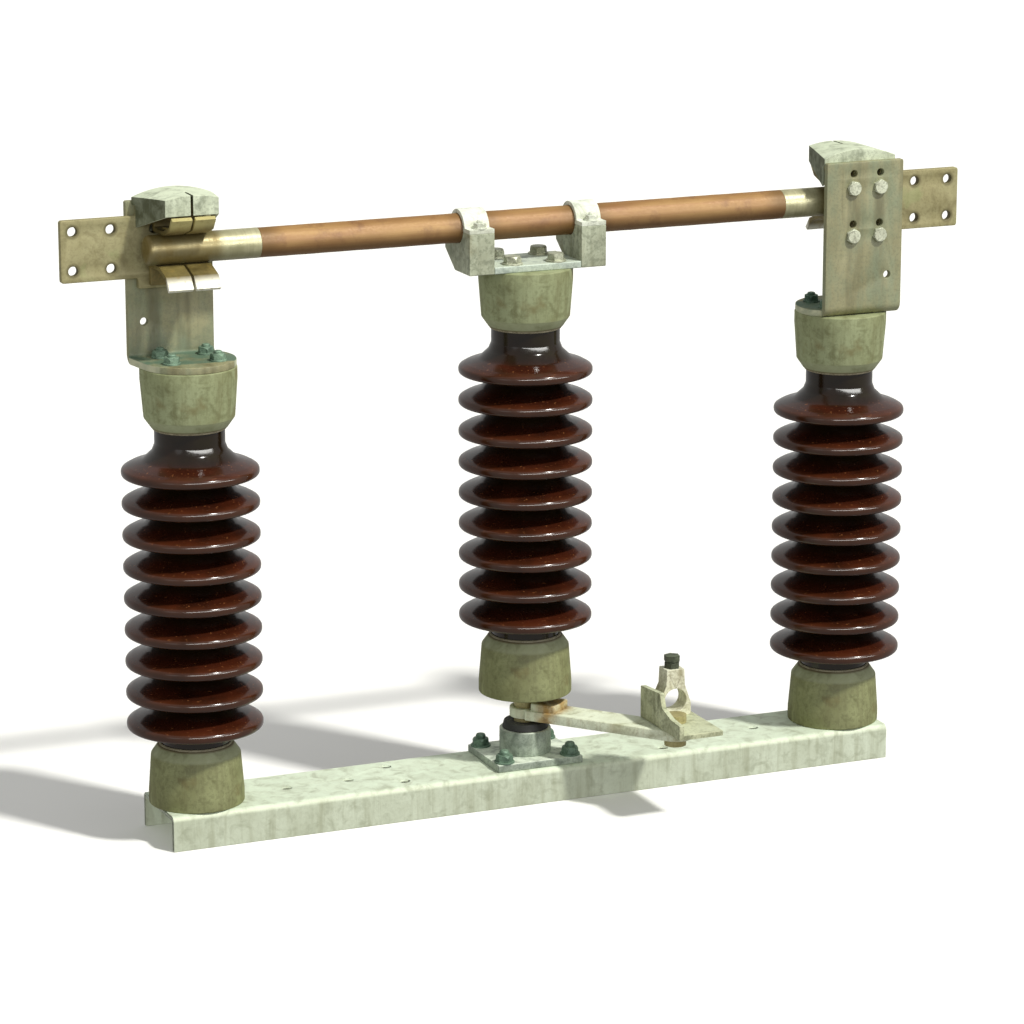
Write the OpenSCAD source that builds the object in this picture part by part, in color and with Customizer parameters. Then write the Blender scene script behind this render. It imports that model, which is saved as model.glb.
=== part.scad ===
// Double-break centre-rotating disconnect switch, one pole.
// X runs along the base channel, the jaw of the left contact opens towards -Y, Z is up.
// The origin is on the rotor's axis, on the top face of the channel's web.
// The right-hand contact is the left-hand one turned half a turn about Z.

/* [Base channel] */
// Distance from the rotor's axis to each outer insulator's axis
pole_gap = 410; // [360:5:520]
// Channel length beyond an outer insulator's axis
channel_end = 46; // [40:1:120]
// Width of the channel across its flanges
channel_w = 108; // [96:2:140]
// Height of the channel
channel_h = 41; // [30:1:80]
// Thickness of web and flanges
channel_t = 6; // [4:0.5:8]
// Outer bend radius between web and flange
channel_r = 7; // [4:0.5:10]

/* [Base holes] */
// Diameter of every fixing hole in the web
base_hole_d = 14; // [10:1:18]
// Spacing along X of the four inner fixing holes
inner_hole_dx = 332; // [260:2:400]
// Spacing across the web of the four inner fixing holes
inner_hole_dy = 60; // [40:2:66]
// Spacing along X of the two middle fixing holes
middle_hole_dx = 450; // [430:2:520]
// Spacing along X of the two outer fixing holes
outer_hole_dx = 602; // [580:2:640]

/* [Insulators] */
// Height of each post insulator over its two caps
ins_h = 508; // [400:2:640]
// Diameter of the sheds
shed_d = 156; // [136:2:170]
// Number of sheds
shed_count = 9; // [5:1:9]
// Diameter of the porcelain core between the sheds
core_d = 86; // [76:1:96]
// Diameter of the porcelain where it enters a cap
neck_d = 80; // [74:1:86]
// Height of each metal cap
cap_h = 70; // [60:1:92]
// Diameter of a cap at its mounting face
cap_d = 110; // [104:1:116]
// Diameter of a cap near the porcelain
cap_rim_d = 103; // [98:1:110]
// Height of the sloped collar at a cap's porcelain end
cap_collar_h = 12; // [6:1:16]
// Thickness of a shed at its rim
shed_rim_t = 10; // [6:0.5:12]
// Porcelain between the upper cap and the level of the first shed's rim
neck_top = 50; // [34:1:60]
// Porcelain between the lower cap and the level of the last shed's rim
neck_bottom = 24; // [14:1:32]
// Depth of the porcelain's seat in a cap
cap_seat = 52; // [40:1:56]

/* [Bearing] */
// Length of the square-cornered bearing plate along X
bearing_plate_l = 108; // [90:2:140]
// Width of the bearing plate across the channel
bearing_plate_w = 94; // [80:2:108]
// Thickness of the bearing plate
bearing_plate_t = 9; // [6:1:14]
// Outside diameter of the bearing housing
housing_d = 61; // [50:1:74]
// Height of the bearing housing above its plate
housing_h = 29; // [20:1:44]
// Height of the rubber seal on top of the housing
seal_h = 9; // [6:1:12]
// Diameter of the seal
seal_d = 55; // [46:1:60]
// Height from the channel's top to the underside of the centre insulator
rotor_lift = 83; // [76:1:110]
// Diameter of the rotor shaft
shaft_d = 27; // [22:1:32]
// Radial running clearance of shafts and pins
run_gap = 0.05; // [0.02:0.01:0.1]
// Diameter of the boss that carries the centre insulator
boss_d = 40; // [34:1:60]
// Height of that boss
boss_h = 9; // [5:1:10]

/* [Blade] */
// Height of the blade's axis above the centre insulator's top face
blade_lift = 50; // [46:1:70]
// Outside diameter of the blade
blade_d = 34; // [28:1:40]
// Wall of the blade's tube
blade_wall = 4; // [2:0.5:6]
// Distance from an outer insulator's axis to the near end of the copper tube
tube_short = 84; // [74:2:130]
// Length of each tinned tip beyond the copper tube
tip_l = 132; // [120:2:160]
// Length of the blade bracket along X
bracket_l = 170; // [150:2:200]
// Width of the blade bracket
bracket_w = 74; // [64:2:90]
// Thickness of the blade bracket's plate
bracket_t = 8; // [5:1:12]
// Length along X of each tube saddle
saddle_l = 31; // [20:1:40]
// Rise of a saddle's sloping underside at its back
saddle_rise = 22; // [0:1:28]
// Thickness of each tube strap
strap_t = 5; // [3:0.5:8]

/* [Contacts] */
// Width of a contact bracket
plate_w = 101; // [91:2:121]
// Distance from the outer insulator's axis to the bracket's blade-side edge
plate_in = 42; // [36:1:56]
// Height of a contact bracket above its insulator
plate_h = 184; // [160:2:210]
// Thickness of the contact bracket's plates
plate_t = 8; // [5:1:10]
// Outer radius of the bend between a bracket's plate and its foot
plate_r = 12; // [11:1:18]
// Distance from the blade's axis to the outer face of the contact bracket
plate_back = 40; // [34:1:50]
// Overlap of a terminal pad and its contact bracket
pad_lap = 34; // [24:1:50]
// Height of a terminal pad
pad_h = 70; // [66:2:90]
// Thickness of a terminal pad
pad_t = 8; // [5:1:12]
// Distance that a terminal pad stands out past the contact bracket
pad_out = 78; // [66:1:100]
// Spacing of a terminal pad's four holes, both ways
pad_pitch = 44; // [38:0.5:50]
// Diameter of a terminal pad's holes
pad_hole_d = 11; // [9:0.5:16]
// Distance from the pad's end to its first holes
pad_margin = 14; // [10:0.5:20]
// Width of one upper contact finger
finger_w = 24; // [18:1:26]
// Width of one lower contact finger
low_finger_w = 29; // [20:1:32]
// Slit between two contact fingers
finger_slit = 3; // [2:0.5:6]
// Thickness of a contact finger
finger_t = 5; // [3:0.5:6]
// Reach of a finger beyond the blade's axis, up to the start of its lip
finger_reach = 36; // [28:1:44]
// Height that a finger's lip opens out above or below the arm
finger_flare = 21; // [14:1:24]
// Clearance between blade and finger
jaw_gap = 0.3; // [0.2:0.05:0.6]
// Thickness of the hood's sheet
hood_t = 3; // [2:0.5:4]
// Width of the hood at its lip
hood_lip_w = 62; // [54:1:70]
// Width of the hood at its bracket
hood_back_w = 94; // [80:1:98]
// Reach of the hood beyond the blade's axis
hood_reach = 39; // [34:1:56]
// Height of the hood's crown above the blade's axis
hood_crown = 65; // [60:1:72]
// Radius of the hood's curved top
hood_r = 120; // [90:5:200]

/* [Operating lever] */
// Angle of the closed lever from the channel, towards the front
lever_a = 50; // [30:1:60]
// Distance from the rotor's axis to the lever's pin
lever_r = 195; // [160:1:220]
// Width of the lever
lever_w = 42; // [30:1:50]
// Thickness of the lever
lever_t = 12; // [8:1:14]
// Height of the lever's underside above the channel
lever_z = 52; // [50:1:60]
// Height of the block on top of the lever beside the shaft
hub_block_h = 9; // [4:1:10]
// Reach of that block along the lever, from the rotor's axis
hub_block_l = 48; // [36:1:60]
// Diameter of the pin at the lever's end
pin_d = 16; // [12:1:20]

/* [Pipe clamp] */
// Thickness of the clamp bracket's legs
clamp_t = 6; // [4:0.5:8]
// Height of the clamp bracket's upright leg at its tall end
clamp_h = 38; // [32:1:50]
// Height of that leg at its low end
clamp_low_h = 17; // [12:1:24]
// Distance from the lever's pin to the outer face of the upright leg
clamp_side = 20; // [20:1:30]
// Reach of the upright leg from the pin towards the channel
clamp_back = 53; // [44:1:60]
// Reach of the upright leg from the pin away from the channel
clamp_front = 53; // [30:1:70]
// Reach of the flat leg from the pin, away from the upright leg
clamp_out = 36; // [34:1:64]
// Reach of the flat leg from the pin, away from the channel
clamp_lip = 53; // [16:1:60]
// Sideways distance from the lever's pin to the pipe's axis
eye_dx = 10; // [10:1:34]
// Distance from the lever's pin to the middle of the eye, along the pipe
eye_dy = 32; // [28:1:38]
// Diameter of the eye for the operating pipe
eye_bore_d = 28; // [22:1:30]
// Width of the eye at its foot
eye_foot_w = 40; // [40:1:50]
// Height of the eye
eye_h = 56; // [50:1:70]
// Thickness of the eye along the pipe
eye_t = 22; // [16:1:26]
// Diameter of the set bolt in the eye
set_bolt_d = 10; // [8:1:12]

/* [Hidden] */
$fn = 96;
steel_gap = 0.3;                       // free gap between moving and fixed faces
base_len = 2 * (pole_gap + channel_end);
shed_pitch = (ins_h - 2 * cap_h - neck_top - neck_bottom) / (shed_count - 1);
shed_first = cap_h + neck_bottom;      // height of the lowest shed's rim
cement_gap = 0.4;
blade_z = rotor_lift + ins_h + blade_lift;
bracket_z = rotor_lift + ins_h;        // top of the centre insulator
saddle_gap = 0.1;                      // radial gap round the clamped tube
blade_r = blade_d / 2;
tube_half = pole_gap - tube_short;     // half length of the copper tube
housing_z = bearing_plate_t;
seal_z = housing_z + housing_h;
shaft_low = channel_h - 8;             // shaft reaches this far below the web's top
lever_x = lever_r * cos(lever_a);      // lever pin
lever_y = -lever_r * sin(lever_a);
clamp_z = lever_z + lever_t + steel_gap;
pin_head_t = 9;
plate_x = pole_gap - plate_in;         // blade-side edge of a contact bracket
plate_top = ins_h + plate_h;
pad_x = plate_x + plate_w + pad_out;   // outer end of a terminal pad
pad_y = -plate_back + plate_t;         // back face of the pad, on the bracket's inner face
root_y = pad_y + pad_t;                // inner face of the pad, where the fingers' roots lie
jaw_x = plate_x + hood_back_w / 2;     // middle of the jaw
finger_root_h = 26;                    // height of a finger's root above its arm
bolt_hole_d = 11;
bolt_rows = [-37, 20];                 // heights of the finger bolts over the blade's axis
spare_rows = [-23, 37];                // and of the spare holes
bolt_x = plate_x + 53;                 // middle of the two columns of bolts and holes
bolt_dx = 35;                          // spacing of the two columns
root_pad = [-35, 43, 47];              // extent of a pad's root beside and above the jaw
spare_hole_d = 9;

// ---- helpers ----

// Half a turn about the rotor's axis makes the left-hand pieces
module left() rotate([0, 0, 180]) children();

module block(low, high) translate(low) cube(high - low);

// A profile drawn in Y and Z, pushed along +X from x0 by length l
module along_x(x0, l) translate([x0, 0, 0]) rotate([90, 0, 90]) linear_extrude(l) children();

// A profile drawn in X and Z, pushed along +Y from y0 by length l
module along_y(y0, l) translate([0, y0 + l, 0]) rotate([90, 0, 0]) linear_extrude(l) children();

// ---- base ----

// Cross-section of the base channel, web on top
module channel_section() {
    half = channel_w / 2;
    module outline(r, inset) {
        translate([-half + inset, -channel_h - 1])
            square([2 * (half - inset), channel_h + 1 - inset - r]);
        translate([-half + inset + r, -channel_h - 1])
            square([2 * (half - inset - r), channel_h + 1 - inset]);
        for (s = [-1, 1])
            translate([s * (half - inset - r), -inset - r]) circle(r);
    }
    intersection() {
        difference() {
            outline(channel_r, 0);
            outline(channel_r - channel_t + 2, channel_t);
        }
        translate([-half, -channel_h]) square([2 * half, channel_h]);
    }
}

module base_holes() {
    for (s = [-1, 1]) {
        for (t = [-1, 1])
            translate([s * inner_hole_dx / 2, t * inner_hole_dy / 2, -channel_t - 1])
                cylinder(d = base_hole_d, h = channel_t + 2);
        for (dx = [middle_hole_dx, outer_hole_dx])
            translate([s * dx / 2, 0, -channel_t - 1]) cylinder(d = base_hole_d, h = channel_t + 2);
    }
}

module base_channel() color([0.80, 0.84, 0.76]) difference() {
    along_x(-base_len / 2, base_len) channel_section();
    base_holes();
    translate([0, 0, -channel_t - 1]) cylinder(r = shaft_d / 2 + 2, h = channel_t + 2);
}

module bearing_plate() color([0.72, 0.78, 0.70]) difference() {
    block([-bearing_plate_l / 2, -bearing_plate_w / 2, 0],
          [bearing_plate_l / 2, bearing_plate_w / 2, bearing_plate_t]);
    translate([0, 0, -1]) cylinder(r = shaft_d / 2 + 2, h = bearing_plate_t + 2);
}

module bearing_housing() color([0.55, 0.60, 0.52]) difference() {
    translate([0, 0, housing_z]) cylinder(d = housing_d, h = housing_h);
    translate([0, 0, housing_z - 1]) cylinder(r = shaft_d / 2 + run_gap, h = housing_h + 2);
}

module bearing_seal() color([0.07, 0.07, 0.06]) difference() {
    translate([0, 0, seal_z]) cylinder(d1 = seal_d, d2 = seal_d - 5, h = seal_h);
    translate([0, 0, seal_z - 1]) cylinder(r = shaft_d / 2 + steel_gap, h = seal_h + 2);
}

// ---- post insulators, standing on z = 0 at the origin ----

// A cap seen from its mounting face at z = 0, with the porcelain's seat at its other end
module cap() color([0.58, 0.61, 0.47]) rotate_extrude() difference() {
    polygon([
        [0, 0], [cap_d / 2, 0], [cap_d / 2, cap_h * 0.2], [cap_rim_d / 2, cap_h - cap_collar_h],
        [cap_rim_d / 2 - 8, cap_h], [0, cap_h]
    ]);
    translate([-1, cap_h - cap_seat]) square([neck_d / 2 + cement_gap + 1, cap_seat + 1]);
}

module bottom_cap() cap();

module top_cap() translate([0, 0, ins_h]) mirror([0, 0, 1]) cap();

// Half cross-section of one shed, its rim's middle at z = 0
module shed_section() {
    rim = shed_rim_t / 2;
    tip_x = shed_d / 2 - rim;
    core = core_d / 2;
    polygon([
        [0, -8], [core, -8], [core + 3, -6], [core + 8, -5], [tip_x, -rim], [tip_x, rim],
        [core + 11, 14], [core + 4, 19], [core, 25], [0, 25]
    ]);
    translate([tip_x, 0]) circle(rim);
}

// Half cross-section of the porcelain: neck, core and sheds
module porcelain_section() {
    low = cap_h - cap_seat;
    translate([0, low]) square([neck_d / 2, ins_h - 2 * low]);
    translate([0, shed_first - 8]) square([core_d / 2, (shed_count - 1) * shed_pitch + 33]);
    for (i = [0:shed_count - 1]) translate([0, shed_first + i * shed_pitch]) shed_section();
}

module porcelain() color([0.28, 0.10, 0.05]) rotate_extrude() porcelain_section();

module on_outer() translate([pole_gap, 0, 0]) children();

module on_rotor() translate([0, 0, rotor_lift]) children();

module right_bottom_cap() on_outer() bottom_cap();
module right_porcelain() on_outer() porcelain();
module right_top_cap() on_outer() top_cap();
module left_bottom_cap() left() right_bottom_cap();
module left_porcelain() left() right_porcelain();
module left_top_cap() left() right_top_cap();
module centre_bottom_cap() on_rotor() bottom_cap();
module centre_porcelain() on_rotor() porcelain();
module centre_top_cap() on_rotor() top_cap();

// ---- contacts, drawn for the right-hand side ----

// The two columns of bolts or holes through a contact bracket, at heights above the blade's axis
module jaw_holes(heights, d) {
    for (s = [-1, 1], h = heights)
        translate([bolt_x + s * bolt_dx / 2, -plate_back - 1, blade_z + h])
            rotate([-90, 0, 0]) cylinder(d = d, h = plate_back);
}

// Plan of a bracket's foot: from the bend it runs on to the round of the cap
module foot_outline() intersection() {
    hull() {
        translate([pole_gap, 0]) circle(d = cap_d - 2);
        translate([plate_x, -plate_back]) square([plate_w, plate_r]);
    }
    translate([plate_x - cap_d, -plate_back + plate_r]) square(3 * cap_d);
}

// Upright plate, bend and start of the foot in Y and Z, from the plate's outer lower corner
module bend_section() {
    r = plate_r;
    t = plate_t;
    translate([0, r]) square([t, plate_h - r]);
    translate([r, 0]) square([1, t]);
    intersection() {
        square(r);
        difference() {
            translate([r, r]) circle(r);
            translate([r, r]) circle(r - t);
        }
    }
}

module right_contact_bracket() color([0.68, 0.70, 0.58]) difference() {
    union() {
        along_x(plate_x, plate_w) translate([-plate_back, ins_h]) bend_section();
        translate([0, 0, ins_h]) linear_extrude(plate_t) foot_outline();
    }
    jaw_holes(bolt_rows, bolt_hole_d);
    jaw_holes(spare_rows, spare_hole_d);
    translate([plate_x + plate_w - 19, -plate_back - 1, ins_h + 47])
        rotate([-90, 0, 0]) cylinder(d = spare_hole_d, h = plate_t + 2);
}

// Pad for the line's lug, with a taller root that carries the fingers
module right_terminal_pad() color([0.62, 0.58, 0.42]) difference() {
    union() {
        block([plate_x + plate_w - pad_lap, pad_y, blade_z - pad_h / 2],
              [pad_x, root_y, blade_z + pad_h / 2]);
        block([jaw_x + root_pad[0], pad_y, blade_z - root_pad[2]],
              [jaw_x + root_pad[1], root_y, blade_z + root_pad[2]]);
    }
    for (s = [-1, 1], i = [0, 1])
        translate([pad_x - pad_margin - i * pad_pitch, pad_y - 1, blade_z + s * pad_pitch / 2])
            rotate([-90, 0, 0]) cylinder(d = pad_hole_d, h = pad_t + 2);
    jaw_holes(bolt_rows, bolt_hole_d);
    jaw_holes(spare_rows, spare_hole_d);
}

// Profile of an upper finger in Y and Z: root on the pad, arm over the blade, easing off, lip
module finger_profile() {
    arm = blade_r + jaw_gap;
    f = finger_flare;
    t = finger_t;
    y = finger_reach;
    polygon([
        [root_y, arm], [y - 24, arm], [y, arm + 8], [y + 10, arm + f],
        [y + 10 - t * 0.8, arm + f + t * 0.6], [y - t * 0.61, arm + 8 + t * 0.85],
        [y - 24 - t * 0.16, arm + t],
        [root_y + t, arm + t], [root_y + t, arm + finger_root_h], [root_y, arm + finger_root_h]
    ]);
}

// Two upper fingers of width w side by side; their bolts end in blind threads
module fingers(w) for (s = [-1, 1])
    translate([0, 0, blade_z])
        along_x(jaw_x + s * (w + finger_slit) / 2 - w / 2, w) finger_profile();

module right_upper_fingers() color([0.55, 0.45, 0.22]) fingers(finger_w);

module right_lower_fingers() color([0.60, 0.52, 0.30])
    translate([0, 0, 2 * blade_z]) mirror([0, 0, 1]) fingers(low_finger_w);

// The hood's outer or inner space: a wedge in plan under a curved top, closed at the bracket
module hood_space(inset) {
    y0 = pad_y + inset;
    y1 = hood_reach - inset;
    back = hood_back_w / 2 - inset;
    lip = hood_lip_w / 2 - inset;
    intersection() {
        translate([0, 0, blade_z])
            linear_extrude(hood_crown + 20)
                polygon([
                    [jaw_x - back, y0], [jaw_x + back, y0],
                    [jaw_x + lip, y1], [jaw_x - lip, y1]
                ]);
        translate([jaw_x, y0 - 1, blade_z + hood_crown - inset - hood_r])
            rotate([-90, 0, 0]) cylinder(r = hood_r, h = y1 - y0 + 2, $fn = 128);
    }
}

module right_contact_hood() color([0.70, 0.75, 0.62]) difference() {
    hood_space(0);
    hood_space(hood_t);
    // slanted lower edge of the cheeks: deep at the bracket, shallow at the lip
    along_x(plate_x - 20, plate_w + 40)
        polygon([
            [pad_y - 2, blade_z - 1], [pad_y - 2, blade_z + 19], [hood_reach + 2, blade_z + 43],
            [hood_reach + 2, blade_z - 1]
        ]);
    // saw slit in the lip, above the slit between the fingers
    block([jaw_x - 1.5, hood_reach - 26, blade_z], [jaw_x + 1.5, hood_reach + 1, blade_z + 90]);
    // room for the pad behind the cheeks
    block([plate_x - 10, pad_y - 1, blade_z], [pad_x, root_y, blade_z + root_pad[2]]);
}

module left_contact_bracket() left() right_contact_bracket();
module left_terminal_pad() left() right_terminal_pad();
module left_upper_fingers() left() right_upper_fingers();
module left_lower_fingers() left() right_lower_fingers();
module left_contact_hood() left() right_contact_hood();

// ---- rotor ----

module rotor_shaft() color([0.55, 0.52, 0.40]) {
    translate([0, 0, -shaft_low]) cylinder(d = shaft_d, h = rotor_lift + shaft_low);
    translate([0, 0, rotor_lift - boss_h]) cylinder(d1 = shaft_d, d2 = boss_d, h = boss_h);
    // collar under the web that keeps the rotor down
    translate([0, 0, -channel_t - 12 - steel_gap]) cylinder(d = shaft_d + 17, h = 12);
}

module operating_lever() color([0.66, 0.68, 0.48]) difference() {
    rotate([0, 0, -lever_a]) {
        translate([0, 0, lever_z]) cylinder(d = shaft_d + 10, h = lever_t);
        block([10, -lever_w / 2, lever_z], [lever_r, lever_w / 2, lever_z + lever_t]);
        block([shaft_d / 2 + 2, -lever_w / 2 + 3, lever_z + lever_t - 1],
              [hub_block_l, lever_w / 2 - 3, lever_z + lever_t + hub_block_h]);
        translate([lever_r, 0, lever_z]) cylinder(d = lever_w, h = lever_t);
    }
    translate([0, 0, lever_z - 1]) cylinder(d = shaft_d, h = lever_t + 2);
    translate([lever_x, lever_y, lever_z - 1]) cylinder(d = pin_d, h = lever_t + 2);
}

module lever_pin() color([0.50, 0.50, 0.40]) translate([lever_x, lever_y, 0]) {
    translate([0, 0, lever_z - 4]) cylinder(d = pin_d, h = lever_t + clamp_t + 5);
    translate([0, 0, clamp_z + clamp_t + steel_gap]) cylinder(d = pin_d * 1.6, h = pin_head_t);
    translate([0, 0, lever_z - 9]) cylinder(d = pin_d * 1.6, h = 9);
}

// Plate on the cap, between the two saddles
module blade_bracket() color([0.80, 0.86, 0.74])
    block([-bracket_l / 2 + saddle_l, -bracket_w / 2, bracket_z],
          [bracket_l / 2 - saddle_l, bracket_w / 2, bracket_z + bracket_t]);

module tube_space(gap) translate([0, 0, blade_z]) rotate([0, 90, 0])
    cylinder(r = blade_r + gap, h = 2 * bracket_l, center = true);

module right_tube_saddle() color([0.62, 0.68, 0.60]) difference() {
    along_x(bracket_l / 2 - saddle_l, saddle_l) polygon([
        [-bracket_w / 2, bracket_z], [bracket_w * 0.1, bracket_z],
        [bracket_w / 2, bracket_z + saddle_rise], [bracket_w / 2, blade_z - 2],
        [-bracket_w / 2, blade_z - 2]
    ]);
    tube_space(saddle_gap);
}

module right_tube_strap() color([0.86, 0.90, 0.80]) difference() {
    union() {
        translate([bracket_l / 2 - saddle_l, 0, blade_z]) rotate([0, 90, 0])
            cylinder(r = blade_r + saddle_gap + strap_t, h = saddle_l);
        block([bracket_l / 2 - saddle_l, -bracket_w / 2, blade_z - 2],
              [bracket_l / 2, bracket_w / 2, blade_z - 2 + strap_t]);
    }
    tube_space(saddle_gap);
    block([0, -bracket_w, blade_z - bracket_w], [bracket_l, bracket_w, blade_z - 2]);
}

module left_tube_saddle() mirror([1, 0, 0]) right_tube_saddle();
module left_tube_strap() left() right_tube_strap();

module blade_tube() color([0.72, 0.44, 0.20]) translate([-tube_half, 0, blade_z])
    rotate([0, 90, 0]) difference() {
        cylinder(r = blade_r, h = 2 * tube_half);
        translate([0, 0, -1]) cylinder(r = blade_r - blade_wall, h = 2 * tube_half + 2);
    }

// Tinned tip: a closed tube with a rounded end
module right_blade_tip() color([0.76, 0.74, 0.58]) translate([tube_half, 0, blade_z])
    rotate([0, 90, 0]) rotate_extrude() difference() {
        union() {
            square([blade_r, tip_l - 6]);
            square([blade_r - 6, tip_l]);
            translate([blade_r - 6, tip_l - 6]) circle(6);
        }
        translate([-1, -1]) square([blade_r - blade_wall + 1, tip_l - 14]);
    }

module left_blade_tip() left() right_blade_tip();

// ---- pipe clamp, on its pin at the lever's end ----

module clamp_bracket() color([0.45, 0.47, 0.36]) translate([lever_x, lever_y, clamp_z])
    difference() {
        union() {
            along_x(-clamp_side, clamp_t) polygon([
                [-clamp_front, 0], [clamp_back, 0], [clamp_back, clamp_h], [1, clamp_h + 4],
                [-5, clamp_low_h + 9], [-28, clamp_low_h + 2], [-clamp_front, clamp_low_h]
            ]);
            block([-clamp_side, -clamp_lip, 0], [clamp_out, clamp_back, clamp_t]);
        }
        translate([0, 0, -1]) cylinder(r = pin_d / 2 + run_gap, h = clamp_t + 2);
    }

module at_eye() translate([lever_x + eye_dx, lever_y + eye_dy, clamp_z + clamp_t]) children();

// Pear-shaped eye for the operating pipe
module pipe_eye() color([0.70, 0.68, 0.52]) at_eye() difference() {
    foot = eye_foot_w / 2;
    along_y(-eye_t / 2, eye_t) difference() {
        polygon([
            [-foot + 1, 0], [foot, 0], [foot, 14], [12, 37], [11, eye_h],
            [-11, eye_h], [-12, 37], [-foot + 1, 22]
        ]);
        translate([0, eye_bore_d / 2 + 5]) circle(d = eye_bore_d);
    }
    translate([0, 0, eye_bore_d]) cylinder(d = set_bolt_d, h = eye_h);
}

// Set bolt that grips the pipe, with its lock nut
module eye_bolt() color([0.20, 0.20, 0.16]) at_eye() {
    translate([0, 0, eye_bore_d + 5]) cylinder(d = set_bolt_d, h = eye_h - eye_bore_d - 5 + 12);
    translate([0, 0, eye_h]) cylinder(d = set_bolt_d * 1.9, h = 7, $fn = 6);
    translate([0, 0, eye_h + 8]) rotate([0, 0, 20]) cylinder(d = set_bolt_d * 1.9, h = 7, $fn = 6);
}

base_channel();
bearing_plate();
bearing_housing();
bearing_seal();
left_bottom_cap();
left_porcelain();
left_top_cap();
right_bottom_cap();
right_porcelain();
right_top_cap();
left_contact_bracket();
right_contact_bracket();
left_terminal_pad();
right_terminal_pad();
left_upper_fingers();
right_upper_fingers();
left_lower_fingers();
right_lower_fingers();
left_contact_hood();
right_contact_hood();
rotor_shaft();
operating_lever();
lever_pin();
centre_bottom_cap();
centre_porcelain();
centre_top_cap();
blade_bracket();
left_tube_saddle();
right_tube_saddle();
left_tube_strap();
right_tube_strap();
blade_tube();
left_blade_tip();
right_blade_tip();
clamp_bracket();
pipe_eye();
eye_bolt();
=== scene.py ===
import math

import bmesh
import bpy
from mathutils import Matrix, Vector
from mathutils.geometry import tessellate_polygon


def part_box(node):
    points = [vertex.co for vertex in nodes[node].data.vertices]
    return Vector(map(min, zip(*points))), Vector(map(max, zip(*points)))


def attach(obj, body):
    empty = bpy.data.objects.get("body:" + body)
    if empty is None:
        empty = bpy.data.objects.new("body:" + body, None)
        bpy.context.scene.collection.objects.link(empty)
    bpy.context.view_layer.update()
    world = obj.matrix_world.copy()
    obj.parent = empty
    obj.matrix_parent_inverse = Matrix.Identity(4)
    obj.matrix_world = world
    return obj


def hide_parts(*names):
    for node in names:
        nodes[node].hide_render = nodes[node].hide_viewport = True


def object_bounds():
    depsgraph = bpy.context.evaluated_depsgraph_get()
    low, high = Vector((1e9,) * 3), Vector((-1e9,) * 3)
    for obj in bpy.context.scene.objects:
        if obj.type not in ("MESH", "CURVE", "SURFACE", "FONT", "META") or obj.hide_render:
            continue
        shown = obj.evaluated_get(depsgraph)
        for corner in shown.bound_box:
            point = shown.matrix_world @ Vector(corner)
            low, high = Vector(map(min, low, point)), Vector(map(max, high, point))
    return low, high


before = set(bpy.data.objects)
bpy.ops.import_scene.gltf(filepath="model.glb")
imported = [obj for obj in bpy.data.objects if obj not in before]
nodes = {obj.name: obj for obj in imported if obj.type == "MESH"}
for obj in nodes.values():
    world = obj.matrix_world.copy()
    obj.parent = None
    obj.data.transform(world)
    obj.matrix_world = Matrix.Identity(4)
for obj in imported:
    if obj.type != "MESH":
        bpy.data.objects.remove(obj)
cad_low, cad_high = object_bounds()
scene = bpy.context.scene
MM = 0.001

# sizes in millimetres that the meshes and their dirt share with the CAD
POLE_GAP = 410.0
PLATE_T, PLATE_W, PLATE_BACK, BEND_R, FOOT_R = 8.0, 101.0, 40.0, 12.0, 54.0
BOLT_INSET, BOLT_HALF_PITCH = 53.0, 17.5
BOLT_ROWS, BOLT_HOLE_R = (-37, 20), 5.5
SPARE_ROWS, SPARE_HOLE_R = (-23, 37), 4.5
LOW_HOLE_IN, LOW_HOLE_UP = 19, 47
ROOT_W, ROOT_HALF_H = 78, 47
PAD_HALF_H, PAD_MARGIN, PAD_PITCH, PAD_HOLE_R = 35.0, 14, 44, 5.5
PAD_MIDDLE, BOLT_MIDDLE, BLADE_HEIGHT = 511.0, 421.0, 641.0


# ---------------------------------------------------------------- node helpers

def lin(r, g, b):
    """Linear colour from 0-255 display values."""
    def one(c):
        c /= 255
        return c / 12.92 if c <= 0.04045 else ((c + 0.055) / 1.055) ** 2.4
    return (one(r), one(g), one(b), 1.0)


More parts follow.
